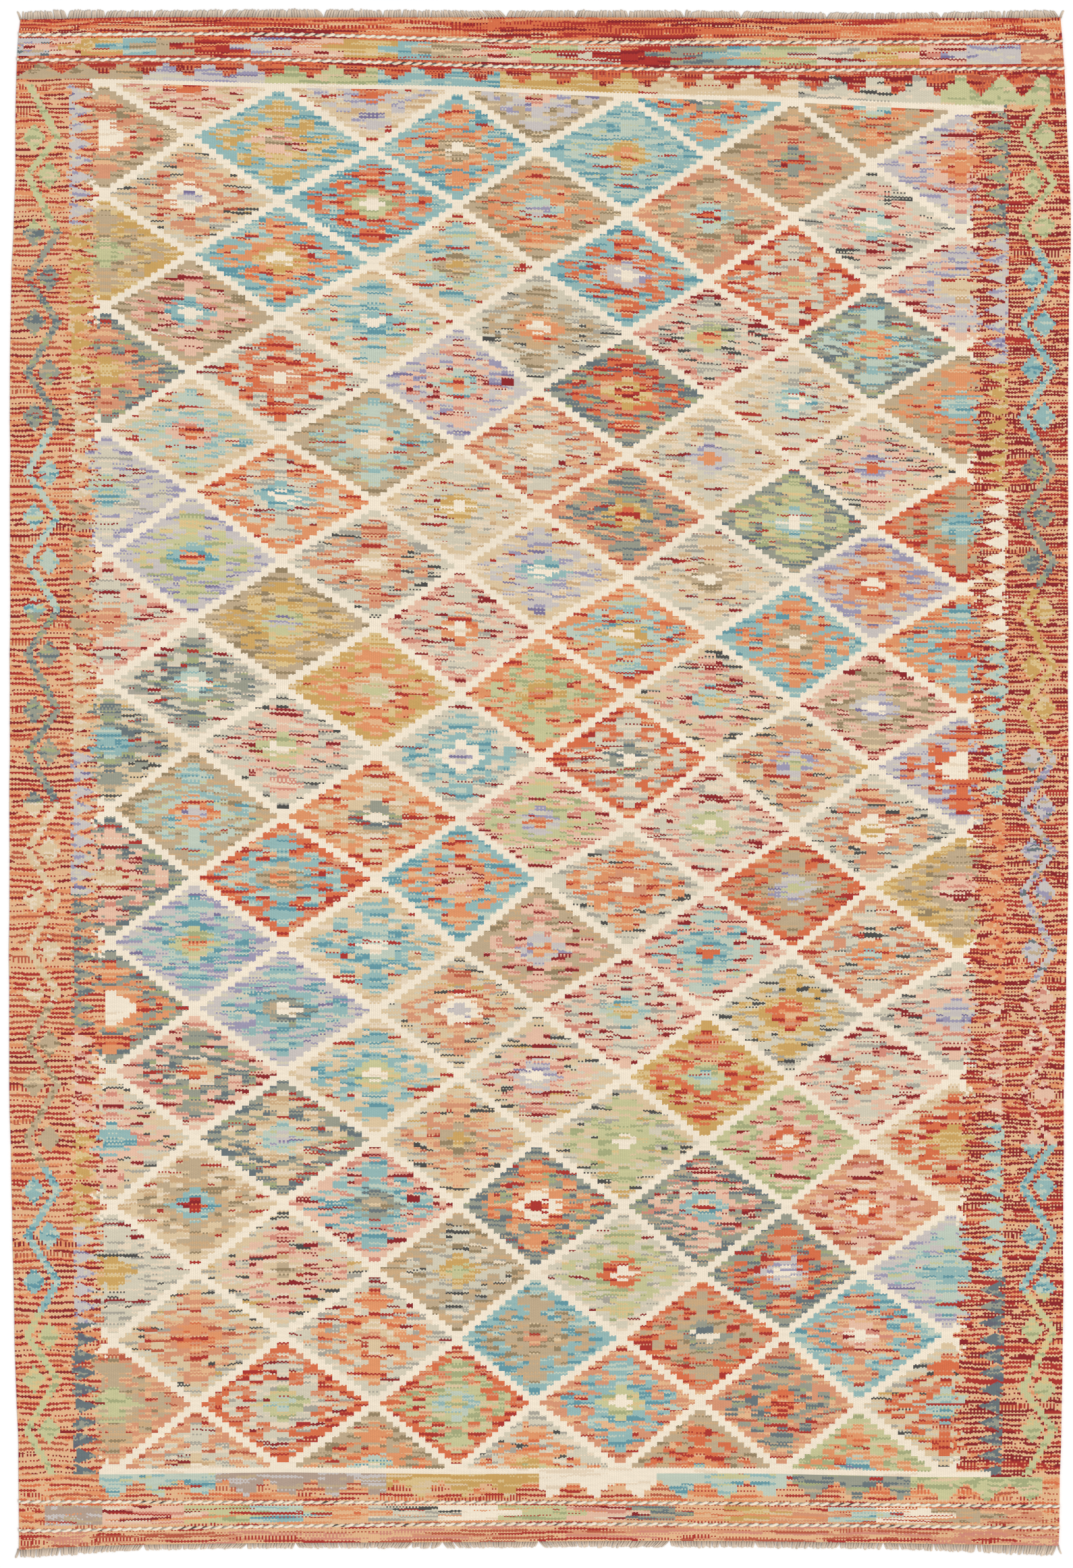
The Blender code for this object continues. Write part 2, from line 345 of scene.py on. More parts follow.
# %% [markdown]
# ## The diamonds
#
# Every diamond of the trellis holds the same hooked motif, and only its four yarns change. So a quarter of
# the motif is charted once, with the diamond's middle at its upper left, and mirrored. Everything more than
# eleven steps from the middle is left ivory, and that draws the trellis. The weaver took whatever wool was
# to hand, so each diamond draws its yarns from a pool for each zone, with two habits: no yarn twice, and
# mostly a cool motif on a warm field or the reverse. Last, some half rows are moved a cell aside.

# %% Chart the motif and weave the diamonds
MOTIF_QUARTER = [
    # from the middle row outwards; . is field, B motif, C heart, D eye
    "DDCCBBBB",
    "DCCBB..BB",
    "CCBB..BB",
    "CBBBB",
    "BB..BB",
    "B..BB",
    "BB",
    "BBB",
    "BB",
    "B",
]
DIAMOND_REACH = 11

WARM_YARNS = "seyorcmp"
ZONE_YARNS = {
    # a yarn that is named more often is drawn more often
    ".": "pppplllkkkuuoommmrrvvtthqqqyygggsssnn",
    "B": "ooookkkpppprrrllmmttyyaabbssgghuvn",
    "C": "ooolllrrtttaasswwwyykkbbpmgvh",
    "D": "wwwwwwwwwroolltsavycmb",
}
KEPT_ALIKE = 0.3  # the share of draws kept although field and motif are both warm or both cool
STEPS_ASIDE = (-1, 0, 0, 0, 0, 1)  # a half row is moved by one of these numbers of cells
SHORTEST_MOVED = 4  # cells that a half row has at least to be moved


def draw_yarns():
    """The yarns for one diamond's field, motif, heart and eye."""
    while True:
        yarns = [random.choice(list(pool)) for pool in ZONE_YARNS.values()]
        alike = (yarns[0] in WARM_YARNS) == (yarns[1] in WARM_YARNS)
        if len(set(yarns)) == len(yarns) and (not alike or random.random() < KEPT_ALIKE):
            return yarns


def shift_wefts(area):
    """Moves some half rows of a diamond a cell aside, as wefts laid by hand seldom end in line."""
    for first_pick in range(0, PICKS, HALF_ROW):
        cells = np.nonzero(area[first_pick])[0]
        if len(cells) >= SHORTEST_MOVED:
            picks = slice(first_pick, first_pick + HALF_ROW)
            inside = np.arange(cells[0], cells[-1] + 1)
            source = np.clip(inside - hand.choice(STEPS_ASIDE), cells[0], cells[-1])
            draft[picks, inside] = draft[picks, source]


def zone_letters():
    """The quarter chart as a grid of letters, with the field filled in out to the diamond's edge."""
    letters = np.full((ROWS_PER_LINE + 1, CELLS_PER_COLUMN + 1), " ")
    for row in range(DIAMOND_REACH + 1):
        chart = MOTIF_QUARTER[row] if row < len(MOTIF_QUARTER) else ""
        for cell in range(DIAMOND_REACH + 1 - row):
            letters[row, cell] = chart[cell] if cell < len(chart) else "."
    return letters


zones = zone_letters()
in_trellis = between(cell_of, 0, trellis_cells) & between(row_of, ROW_TRELLIS + 1, ROW_BAND - 1)
for line in range(LINES):
    # the diamonds stand in the columns that have no crossing on this line
    for column in range((line + 1) % 2, COLUMNS, 2):
        cells_out = np.abs(cell_of - column * CELLS_PER_COLUMN)
        rows_out = np.abs(row_of - row_of_line(line))
        near = (cells_out <= DIAMOND_REACH) & (rows_out <= DIAMOND_REACH) & in_trellis
        letters = np.full(draft.shape, " ")
        letters[near] = zones[rows_out[near], cells_out[near]]
        yarns = draw_yarns()
        if column in (0, COLUMNS - 1):
            # the half diamonds at the sides have no eye of their own
            yarns[-1] = yarns[-2]
        for letter, yarn in zip(ZONE_YARNS, yarns):
            lay(letters == letter, yarn)
        shift_wefts(letters != " ")
print(LINES, "lines of diamonds woven")

# %% [markdown]
# ## The side borders
#
# Beside the trellis runs a peach ground with wavy crimson lines, and on it a vine that swings from side to
# side, a stepped diamond in each of its bends, and a comb whose teeth point to the trellis. They are laid by
# their real places: a mark goes wherever the middle of a cell falls inside the shape. On its way down, each
# border changes from one yarn to the next in runs of uneven length.

# %% Weave the side borders
VINE_HALF_WIDTH = 8 * MM
BEND_DIAMOND = (23 * MM, 28 * MM)  # its half width and half height
COMB_BACK = 1 * MM  # the comb's back, from which its teeth point to the trellis
RAGGED = 6 * MM  # how far the wefts of the border and the comb run into each other
TOOTH_LENGTH = 44 * MM
TOOTH_PITCH = 32 * MM
PRONG_CELLS = 2  # how far an ivory prong reaches into the border
RUN_OUT = (2, 7)  # a diamond's half row runs from one to five cells out into the border
TAKEN_FROM = 3  # and takes its colours from this many of the diamond's last cells

SIDE_BORDERS = {
    # the vine's outer and inner turns and the diamonds opposite them, across; the comb's straight side at
    # the foot and at the top; the yarns of both, from the top down; the dyes of the ground's lines and the
    # picks from line to line
    "left": {"turns": (-988, -929), "diamonds": (-946, -975), "comb": (-895, -905),
             "vine yarns": "hkaksvtb", "comb yarns": "lysuslkpyld",
             "lines": ("crimson", "red", "red", "brick"), "spacing": 7},
    "right": {"turns": (990, 930), "diamonds": (949, 972), "comb": (888, 902),
              "vine yarns": "htkyzptb", "comb yarns": "klywaopad",
              "lines": ("crimson", "crimson", "red"), "spacing": 5},
}
VINE_ENDS = (1347 * MM, -1333 * MM)
VINE_TURNS = 30
UNEVEN_TURN = 6 * MM
UNEVEN_RUN = 0.3  # how much longer or shorter than the average a run of one yarn is

# the wavy lines, in picks and cells
BARS, DOTTED, SOLID = (0, 2, 4), (0,), (0, 1, 2)  # the picks that each kind takes
DOTTED_SHARE = 0.12
SECOND_DYE = 0.45  # the share of a ground's second dye
SHORTEST_LINE = 4
WAVE_HEIGHT, LINE_LIFT = 1.3, 0.8
WAVE_ACROSS, WAVE_ALONG = 0.28, 0.05  # radians from cell to cell and from pick to pick


def laid_in_runs(area, along, yarns, first, last, **how):
    """Lays an area with one yarn after another from a first to a last place, and gives back the changes."""
    lengths = random.uniform(1 - UNEVEN_RUN, 1 + UNEVEN_RUN, len(yarns))
    changes = first + (last - first) * np.concatenate([[0], np.cumsum(lengths) / lengths.sum()])
    for yarn, start, stop in zip(yarns, changes, changes[1:]):
        lay(area & between(along, min(start, stop), max(start, stop)), yarn, **how)
    return changes


def wavy_ground(area, ground, lines, spacing, longest, bars, gap):
    """A ground crossed by long wavy lines of other dyes: solid, dotted, or in upright bars."""
    picks, cells = np.nonzero(area)
    lowest, highest, first, last = picks.min(), picks.max(), cells.min(), cells.max()
    block = np.full(draft.shape, DYE_NUMBER[ground[0]])
    strew(block[lowest:highest + 1, first:last + 1], ground[1], SECOND_DYE, longest, 0.2)
    level = lowest
    while level < highest:
        cell = first - random.integers(0, SHORTEST_LINE)
        while cell <= last:
            run = random.integers(SHORTEST_LINE, longest + 1)
            dye = DYE_NUMBER[lines[random.integers(0, len(lines))]]
            kind = random.random()
            taken = BARS if kind < bars else DOTTED if kind < bars + DOTTED_SHARE else SOLID
            lift = random.uniform(-LINE_LIFT, LINE_LIFT)
            for place in range(max(cell, first), min(cell + run, last + 1)):
                wave = round(WAVE_HEIGHT * math.sin(place * WAVE_ACROSS + level * WAVE_ALONG) + lift)
                at_tip = taken is not DOTTED and place in (cell, cell + run - 1)
                for step in taken[1:2] if at_tip else taken:
                    at = level + wave + step
                    if lowest <= at <= highest:
                        block[at, place] = dye
            cell += run + random.integers(0, gap + 1)
        level += spacing + random.integers(-1, 2)
    draft[area] = block[area]


def stepped_diamond(middle_x, middle_y, half_width, half_height):
    return np.abs(place_x - middle_x) / half_width + np.abs(place_y - middle_y) / half_height < 1


def meet(side):
    """Lets the outermost diamonds run out raggedly into the border, and ends each crossing in two prongs."""
    edge, step = (LEFT_CELLS, -1) if side == "left" else (LEFT_CELLS + trellis_cells - 1, 1)
    for first_pick in range((ROW_TRELLIS + 1) * PICKS_PER_ROW, (ROW_BAND - 1) * PICKS_PER_ROW, HALF_ROW):
        picks = slice(first_pick, first_pick + HALF_ROW)
        if np.any(draft[picks, edge] == DYE_NUMBER["ivory"]):
            continue
        for cell in range(1, random.integers(*RUN_OUT)):
            draft[picks, edge + step * cell] = draft[picks, edge - step * random.integers(0, TAKEN_FROM)]
    prong = sorted((edge + step, edge + PRONG_CELLS * step))
    for line in range(0, LINES, 2):
        for out in (-1, 1):
            first_pick = (row_of_line(line) + out) * PICKS_PER_ROW
            draft[first_pick:first_pick + PICKS_PER_ROW, prong[0]:prong[1] + 1] = DYE_NUMBER["ivory"]


in_rows = between(row_of, ROW_TRELLIS, ROW_BAND)
for side, plan in SIDE_BORDERS.items():
    ground = in_rows & ((cell_of < 0) if side == "left" else (cell_of >= trellis_cells))
    wavy_ground(ground, ("peach", "apricot"), plan["lines"], plan["spacing"], longest=26, bars=0.04, gap=1)
    meet(side)
    turns = np.linspace(*VINE_ENDS, VINE_TURNS) + random.normal(0, UNEVEN_TURN, VINE_TURNS)
    swing = np.array([plan["turns"][turn % 2] for turn in range(VINE_TURNS)]) * MM
    marks = np.abs(place_x - np.interp(-place_y, -turns, swing)) < VINE_HALF_WIDTH
    for turn in range(1, VINE_TURNS - 1):
        marks |= stepped_diamond(plan["diamonds"][turn % 2] * MM, turns[turn], *BEND_DIAMOND)
    laid_in_runs(ground & marks, place_y, plan["vine yarns"], *VINE_ENDS, longest=6, thin_lines=0.1)
    inward = 1 if side == "left" else -1
    from_back = (place_x - np.interp(place_y, VINE_ENDS[::-1], plan["comb"]) * MM) * inward
    off_tooth = np.abs(((place_y / TOOTH_PITCH) % 1) - 0.5) * 2
    ragged = np.repeat(random.uniform(-RAGGED, RAGGED, PICKS // HALF_ROW), HALF_ROW)[:, None]
    comb = (from_back > ragged) & (from_back < COMB_BACK + TOOTH_LENGTH * (1 - off_tooth))
    laid_in_runs(ground & comb, place_y, plan["comb yarns"], *VINE_ENDS, longest=6, thin_lines=0.2)
print("side borders woven")

# %% [markdown]
# ## The bands at the ends
#
# Each end has a row of stepped pyramids, then a band of coloured blocks that are locked together by tongues,
# between two twined lines, and last a plain striped strip. A warp shows every second pick only, so where two
# colours change with each pick there are upright bars, and one pick alone gives a dotted line.

# %% Weave the end bands
RUG_WIDTH = 2000  # about, in millimetres, to count the pyramids
PYRAMID_BASE = 6  # picks from the trellis that are solid under the pyramids
PYRAMID_TIP = 30  # and that a pyramid's tip reaches
PYRAMID_PITCH = {"top": 80.5, "foot": 84.0}
FIRST_PYRAMID = {"top": -962, "foot": -818}
PYRAMID_YARNS = {"top": "ulhtysnh", "foot": "axywakh"}
PYRAMID_SPAN = {"top": (-1015 * MM, 985 * MM), "foot": (-850 * MM, 968 * MM)}
BLOCK_YARNS = {"top": "zpytuclpytvpbgckthgyplm", "foot": "xpbaenwbpkeymawum"}
BLOCK_SPAN = {"top": (-1010 * MM, 1015 * MM), "foot": (-955 * MM, 965 * MM)}
BLOCK_INSET = 0.9  # rows between a twined line and the blocks
TONGUE = 48 * MM
TONGUE_HALF_HEIGHT = 1 / 6  # of the block's height
STRAY_WEFTS = {"red": 0.05, "apricot": 0.06}  # shares of the band of blocks
END_LINE = (-3, trellis_cells + 12)  # the cells that the ivory line past the trellis spans


def pyramids(end):
    """Stepped pyramids beside the trellis, pointing to the rug's end."""
    count = round(RUG_WIDTH / PYRAMID_PITCH[end])
    middles = (FIRST_PYRAMID[end] + np.arange(count) * PYRAMID_PITCH[end]) * MM
    nearest = np.min(np.abs(place_x[:, :, None] - middles), axis=2)
    pick = np.arange(PICKS)[:, None]
    out = pick - ROW_BAND * PICKS_PER_ROW if end == "top" else ROW_TRELLIS * PICKS_PER_ROW - 1 - pick
    stepped = out // HALF_ROW * HALF_ROW
    half_width = PYRAMID_PITCH[end] / 2 * MM * (PYRAMID_TIP - stepped) / (PYRAMID_TIP - PYRAMID_BASE)
    inside = between(out, 0, PYRAMID_TIP) & ((out < PYRAMID_BASE) | (nearest <= half_width))
    laid_in_runs(inside, place_x, PYRAMID_YARNS[end], *PYRAMID_SPAN[end], longest=6)


def blocks(end, first_row, last_row):
    """Blocks of colour in a row, each with a tongue into its neighbour at half height."""
    first_pick = (first_row + BLOCK_INSET) * PICKS_PER_ROW
    last_pick = (last_row - BLOCK_INSET) * PICKS_PER_ROW
    half_tongue = (last_pick - first_pick) * TONGUE_HALF_HEIGHT
    pick = np.arange(PICKS)[:, None] * np.ones((1, CELLS), int)
    in_band = between(pick, first_pick, last_pick)
    in_middle = np.abs(pick - (first_pick + last_pick) / 2) < half_tongue
    yarns = BLOCK_YARNS[end]
    changes = laid_in_runs(in_band, place_x, yarns, *BLOCK_SPAN[end], longest=9)
    for number in range(1, len(yarns) - 1):
        tongue = changes[number] - TONGUE if end == "top" else changes[number + 1]
        lay(in_band & in_middle & between(place_x, tongue, tongue + TONGUE), yarns[number], longest=9)
    # here and there a weft of the strips beside it runs on into the band
    band = draft[math.ceil(first_pick):math.floor(last_pick)]
    for dye, share in STRAY_WEFTS.items():
        strew(band, dye, share, longest=14, thin_lines=0.9)


STRIPS = [
    # first row, last row, ground, lines, the picks from line to line, and the share of bars
    (ROW_BAND, ROW_OUTER_TOP, ("coral", "salmon"), ("red", "crimson", "brick"), 4, 0.25),
    (ROW_OUTER_TOP, ROWS, ("coral", "peach"), ("red", "crimson", "apricot"), 4, 0.25),
    (ROW_OUTER_FOOT, ROW_TRELLIS, ("peach", "apricot"), ("brick", "red", "coral"), 7, 0.20),
    (0, ROW_OUTER_FOOT, ("peach", "salmon"), ("brick", "red", "pink"), 5, 0.30),
]
for first_row, last_row, ground, lines, spacing, bars in STRIPS:
    strip = between(row_of, first_row, last_row)
    wavy_ground(strip, ground, lines, spacing, longest=16, bars=bars, gap=2)
pyramids("top")
pyramids("foot")
blocks("top", ROW_INNER_TOP, ROW_OUTER_TOP)
blocks("foot", ROW_OUTER_FOOT, ROW_INNER_FOOT)
for row in (ROW_TRELLIS, ROW_BAND - 1):
    lay((row_of == row) & between(cell_of, *END_LINE), "w")
print("end bands woven, and the draft is full:", draft.shape)

# %% [markdown]
# ## The cloth
#
# The cloth is a grid with a face for each cell and every two rows, drawn out to the loom's places. Solidify
# gives it its thickness and copies the draft to the underside, as a kilim is the same on both sides. Each
# face carries the twelve picks that cross it, four to a number, and UV maps say where in the face, and at
# which warp and pick, a point is.

# %% Make the grid and draw it out
CLOTH_THICKNESS = 0.0035
COCKLE = 0.0004  # the height of the cloth's slow waves
COCKLE_WAVES = ((5.1, 0.8, 2.3), (6.7, 1.1, 3.1))  # of each: radians a metre, its bend and the bend's
EDGE_ROUND = 0.0008
DYES_IN_A_NUMBER = 4
DYE_BASE = 32


def deselect_all():
    for item in bpy.context.selected_objects:
        item.select_set(False)


def added(name):
    """What was just added, under its name."""
    item = bpy.context.object
    item.name = item.data.name = name
    return item


def cockle(x, y):
    """The slight unevenness of a hand-woven cloth that lies flat."""
    (across, bend_x, slow_x), (along, bend_y, slow_y) = COCKLE_WAVES
    wave = np.sin(x * across + bend_x * np.sin(y * slow_x)) + np.sin(y * along + bend_y * np.sin(x * slow_y))
    return COCKLE * 0.5 * wave


def add_uv_map(mesh, name, values):
    uv_map = mesh.uv_layers.new(name=name, do_init=False)
    uv_map.uv.foreach_set("vector", values.astype(np.float32).ravel())


deselect_all()
bpy.ops.mesh.primitive_grid_add(x_subdivisions=CELLS, y_subdivisions=FACE_ROWS, size=2, calc_uvs=False)
cloth = added("woven_cloth")
mesh = cloth.data

grid = places_of(mesh)
cell_at = np.rint((grid[:, 0] + 1) / 2 * CELLS).astype(int)
face_row_at = np.rint((grid[:, 1] + 1) / 2 * FACE_ROWS).astype(int)
row_at = face_row_at * (PICKS_PER_FACE // PICKS_PER_ROW)
drawn = np.stack([row_x[row_at, cell_at], row_y[row_at, cell_at], np.zeros(len(grid))], axis=1)
move_points(mesh, drawn)

# the UV maps, corner by corner
corner_point = np.zeros(len(mesh.loops), np.int32)
mesh.loops.foreach_get("vertex_index", corner_point)
corner_cell = cell_at[corner_point].reshape(-1, 4)
corner_row = face_row_at[corner_point].reshape(-1, 4)
face_cell, face_row = corner_cell.min(axis=1), corner_row.min(axis=1)
warps_before = np.concatenate([[0], np.cumsum(cell_warps)])
flat = drawn[corner_point, :2]
add_uv_map(mesh, "OFBake", (flat - flat.min(axis=0)) / np.ptp(flat, axis=0))
add_uv_map(mesh, "in_face", np.stack([
    corner_cell - face_cell[:, None], corner_row - face_row[:, None]], axis=2))
add_uv_map(mesh, "thread", np.stack([
    warps_before[corner_cell], corner_row * PICKS_PER_FACE], axis=2))

# the picks of every face
packed = np.zeros((len(mesh.polygons), PICKS_PER_FACE // DYES_IN_A_NUMBER))
for pick in range(PICKS_PER_FACE):
    number, digit = divmod(pick, DYES_IN_A_NUMBER)
    packed[:, number] += draft[face_row * PICKS_PER_FACE + pick, face_cell] * DYE_BASE ** digit
mesh.attributes.new("picks", "FLOAT_VECTOR", "FACE").data.foreach_set(
    "vector", packed.astype(np.float32).ravel())
print("the cloth's grid has", len(mesh.polygons), "faces")

# %% Give the cloth its thickness
thickness = cloth.modifiers.new("thickness", "SOLIDIFY")
thickness.thickness = CLOTH_THICKNESS
thickness.offset = 1
thickness.use_rim = True
bpy.ops.object.modifier_apply(modifier=thickness.name)

places = places_of(mesh)
upper = places[:, 2] > CLOTH_THICKNESS / 2
places[upper, 2] += cockle(places[upper, 0], places[upper, 1])
at_edge = (np.tile(cell_at, 2) % CELLS == 0) | (np.tile(face_row_at, 2) % FACE_ROWS == 0)
places[upper & at_edge, 2] = CLOTH_THICKNESS - EDGE_ROUND
move_points(mesh, places)
mesh.update()
print("the cloth is", round(float(np.ptp(places[:, 0])), 3), "by", round(float(np.ptp(places[:, 1])), 3), "m")

# %% [markdown]
# ## Wool close up
#
# Spun wool is never one even colour. Every yarn on the rug shares that, so one node group gives a shade to
# multiply a colour by, partly the wool's uneven tone and partly painted light and shade on its fibres, and a
# fine height for a bump, from a position along the yarn.

# %% Build the spun wool group
class Value:
    """What a node puts out, so that nodes can be written like sums."""

    def __init__(self, socket):
        self.socket, self.tree = socket, socket.id_data

    def maths(self, operation, *values):
        node = self.tree.nodes.new("ShaderNodeMath")
        node.operation = operation
        return fill(node, self, *values)[0]

    def __add__(self, value):
        return self.maths("ADD", value)

    def __sub__(self, value):
        return self.maths("SUBTRACT", value)

    def __mul__(self, value):
        return self.maths("MULTIPLY", value)


def fill(node, *values, **named):
    """Fills a node's inputs, in order and by name, and gives back its outputs."""
    for key, value in [*enumerate(values), *named.items()]:
        if isinstance(value, Value):
            value.tree.links.new(value.socket, node.inputs[key])
        else:
            node.inputs[key].default_value = value
    return [Value(socket) for socket in node.outputs]


def vector_of(x, y, z=0.0):
    return fill(x.tree.nodes.new("ShaderNodeCombineXYZ"), x, y, z)[0]


def parts_of(vector):
    return fill(vector.tree.nodes.new("ShaderNodeSeparateXYZ"), vector)


def stretched(parts, factors):
    """A place for a texture: each part of a vector times its own factor."""
    return vector_of(*(part * factor for part, factor in zip(parts, factors)))


def noise(vector, scale, detail=2.0):
    node = vector.tree.nodes.new("ShaderNodeTexNoise")
    return fill(node, Vector=vector, Scale=scale, Detail=detail)[0]


def spun_wool_group():
    tree = bpy.data.node_groups.new("spun_wool", "ShaderNodeTree")
    tree.interface.new_socket("Along", in_out="INPUT", socket_type="NodeSocketVector")
    for name, way in (("Unevenness", "INPUT"), ("Shade", "OUTPUT"), ("Height", "OUTPUT")):
        tree.interface.new_socket(name, in_out=way, socket_type="NodeSocketFloat")
    along, unevenness = fill(tree.nodes.new("NodeGroupInput"))[:2]
    fibre = noise(along, scale=3.0, detail=3.0)
    # broad changes of tone count for two thirds of the shade, and the fibres' painted light and shade, which
    # follows the bump, for the rest
    both = noise(along, scale=0.35) * 0.65 + fibre * 0.35
    fill(tree.nodes.new("NodeGroupOutput"), (both - 0.5) * unevenness + 1.0, fibre)
    return tree


spun_wool = spun_wool_group()


def wool(along, unevenness):
    """Places the group and gives back its shade and height."""
    node = along.tree.nodes.new("ShaderNodeGroup")
    node.node_tree = spun_wool
    return fill(node, along, unevenness)


print("node group:", spun_wool.name)

# %% [markdown]
# ## The woven finish
#
# A pick goes over one warp and under the next, and the next pick does the reverse. So on each warp only
# every second pick shows, as a bead two picks high, and the beads stand like bricks. The material finds the
# warp and the pick of a point, moves to the pick that shows there, and takes its dye out of the face's
# numbers. A ramp turns that into a colour, and the bead's rounded shape makes the bump and darkens the colour
# towards the gaps between the beads as painted shade.

# %% Weave the material
LIGHT_ON_WHITE = 1.04  # how bright a white card would be in this light
WOOL_SHADER = {"Specular IOR Level": 0.2, "Sheen Weight": 0.08, "Sheen Roughness": 0.5}
BEAD_FALL = (-2.4, -2.8)  # how a bead falls off from its middle, along and across
PAINTED_GAP_SHADE = (0.16, 0.87)  # painted shade between the beads, from a bead's height: the gain, and the painted shade at no height
YARN_ACROSS = 0.35  # how fast the wool changes from warp to warp
LOT_SIZE = (0.004, 0.02)  # how slowly the dye lots change, warp by warp and pick by pick
LOT_SHADE = (0.16, 0.92)  # the gain and the lowest shade
FIBRE_IN_BUMP = 0.25


def linear(channel):
    """An sRGB value from 0 to 255 as a linear one."""
    value = channel / 255
    return value / 12.92 if value <= 0.04045 else ((value + 0.055) / 1.055) ** 2.4


def dye_colour(name):
    return (*(linear(channel) / LIGHT_ON_WHITE for channel in DYES[name]), 1.0)


def new_material(name, inputs):
    """A material, its node tree and its shader, with values for some of the shader's inputs."""
    material = bpy.data.materials.new(name)
    material.use_nodes = True
    tree = material.node_tree
    shader = tree.nodes["Principled BSDF"]
    fill(shader, **inputs)
    return material, tree, shader


def wool_material(name, roughness=0.9):
    return new_material(name, {"Roughness": roughness, **WOOL_SHADER})


def uv_of(tree, name):
    node = tree.nodes.new("ShaderNodeUVMap")
    node.uv_map = name
    return parts_of(Value(node.outputs[0]))[:2]


def carried(tree, name, output):
    """What the faces or points carry under a name."""
    node = tree.nodes.new("ShaderNodeAttribute")
    node.attribute_name = name
    return Value(node.outputs[output])


def dye_under(shown_pick):
    """Takes the dye number of a face's pick out of the numbers that the face carries."""
    first, second, third = parts_of(carried(shown_pick.tree, "picks", "Vector"))
    number = (shown_pick * (1 / DYES_IN_A_NUMBER) + 0.01).maths("FLOOR")
    digit = shown_pick - number * DYES_IN_A_NUMBER
    from_second, from_third = number.maths("GREATER_THAN", 0.5), number.maths("GREATER_THAN", 1.5)
    taken = first * number.maths("LESS_THAN", 0.5) + second * (from_second - from_third) + third * from_third
    power = 1.0
    for step in range(1, DYES_IN_A_NUMBER):
        power = digit.maths("GREATER_THAN", step - 0.5) * (DYE_BASE ** step - DYE_BASE ** (step - 1)) + power
    return taken.maths("DIVIDE", power).maths("FLOOR").maths("FLOORED_MODULO", DYE_BASE)


def ramp_of(factor, stops, interpolation="LINEAR"):
    """A colour ramp through stops that each have a position and a colour."""
    ramp = factor.tree.nodes.new("ShaderNodeValToRGB")
    ramp.color_ramp.interpolation = interpolation
    elements = ramp.color_ramp.elements
    while len(elements) < len(stops):
        elements.new(1.0)
    for number, (position, colour) in enumerate(stops):
        elements[number].position = position
        elements[number].color = colour
    return fill(ramp, factor)[0]


def dress(shader, colour, shade, height, depth, strength):
    """Gives a shader its shaded colour and its bump."""
    shaded = colour.tree.nodes.new("ShaderNodeVectorMath")
    shaded.operation = "SCALE"
    bump = colour.tree.nodes.new("ShaderNodeBump")
    normal = fill(bump, Distance=depth, Strength=strength, Height=height)[0]
    fill(shader, fill(shaded, colour, Scale=shade)[0], Normal=normal)


def woven_material():
    material, tree, shader = wool_material("woven_wool")
    _, up_face = uv_of(tree, "in_face")
    warp_place, pick_place = uv_of(tree, "thread")
    odd_warp = warp_place.maths("FLOOR").maths("FLOORED_MODULO", 2)
    bead = (up_face * PICKS_PER_FACE + odd_warp) * 0.5
    shown = bead.maths("FLOOR") * 2 - odd_warp
    shown = shown.maths("MAXIMUM", 0).maths("MINIMUM", PICKS_PER_FACE - 1)
    stops = [(number / DYE_BASE, dye_colour(name)) for number, name in enumerate(DYES)]
    colour = ramp_of((dye_under(shown) + 0.5) * (1 / DYE_BASE), stops, "CONSTANT")

    up_bead = bead.maths("FRACT") - 0.5
    over_bead = warp_place.maths("FRACT") - 0.5
    bead_height = up_bead * up_bead * BEAD_FALL[0] + over_bead * over_bead * BEAD_FALL[1] + 1
    # painted shade: the colour is darker towards the gaps between the beads, where shade falls
    gap = bead_height * PAINTED_GAP_SHADE[0] + PAINTED_GAP_SHADE[1]

    shade, fibre = wool(vector_of(warp_place * YARN_ACROSS, pick_place), unevenness=0.30)
    lot = noise(stretched((warp_place, pick_place), LOT_SIZE), scale=1.0)
    shade = shade * (lot * LOT_SHADE[0] + LOT_SHADE[1]) * gap
    dress(shader, colour, shade, fibre * FIBRE_IN_BUMP + bead_height, depth=0.0006, strength=0.6)
    return material


cloth.data.materials.append(woven_material())
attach(cloth, "root")
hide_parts("kilim_cloth")
print("the cloth's material has", len(cloth.data.materials[0].node_tree.nodes), "nodes")

# %% [markdown]
# ## The twined lines
#
# A thick ivory yarn and a thinner grey one are twisted round each other across the rug, so from above they
# show as a row of slanting spindles. One turn of a yarn is a short tube, an Array repeats it, and its points
# are then led round the pair's middle line, which follows the ridge of the CAD cloth.

# %% Twist the cords
TURN = 0.0195  # the length of one full turn
TWIST_RADIUS = 0.0013
CORD_YARNS = {"ivory": (0.0027, 0.0), "grey": (0.0016, math.pi)}  # radius and start of its twist
FLATTEN = 0.62
RINGS_PER_TURN = 10
SIDES = 8
PAST_SELVEDGE = 0.0005
PLUMP_SLOW, PLUMP_TURNS = 0.12, 3.9  # how much fuller a yarn gets now and then, and how often
PLUMP_IN_TURN = 0.10  # and within each turn
WANDER = (14.0, 40.0)  # how fast the yarn's colour changes across and along the rug
DYES_FROM, DYES_SPREAD = 0.35, 0.3  # the part of the ramp that the dyes share
CORD_FIBRES = (900.0, 1600.0, 1600.0)


def cut_rings(heights):
    """Cuts a standing tube across at each height."""
    bpy.ops.object.mode_set(mode="EDIT")
    for height in heights:
        bpy.ops.mesh.select_all(action="SELECT")
        bpy.ops.mesh.bisect(plane_co=(0, 0, height), plane_no=(0, 0, 1))
    bpy.ops.object.mode_set(mode="OBJECT")


def set_out(piece, count, offset, merge=False):
    """Repeats a piece in a row, and joins each copy to the next if asked to."""
    row = piece.modifiers.new("row", "ARRAY")
    row.count = count
    row.use_relative_offset = False
    row.use_constant_offset = True
    row.constant_offset_displace = offset
    row.use_merge_vertices = merge
    row.merge_threshold = 0.001
    bpy.ops.object.modifier_apply(modifier=row.name)


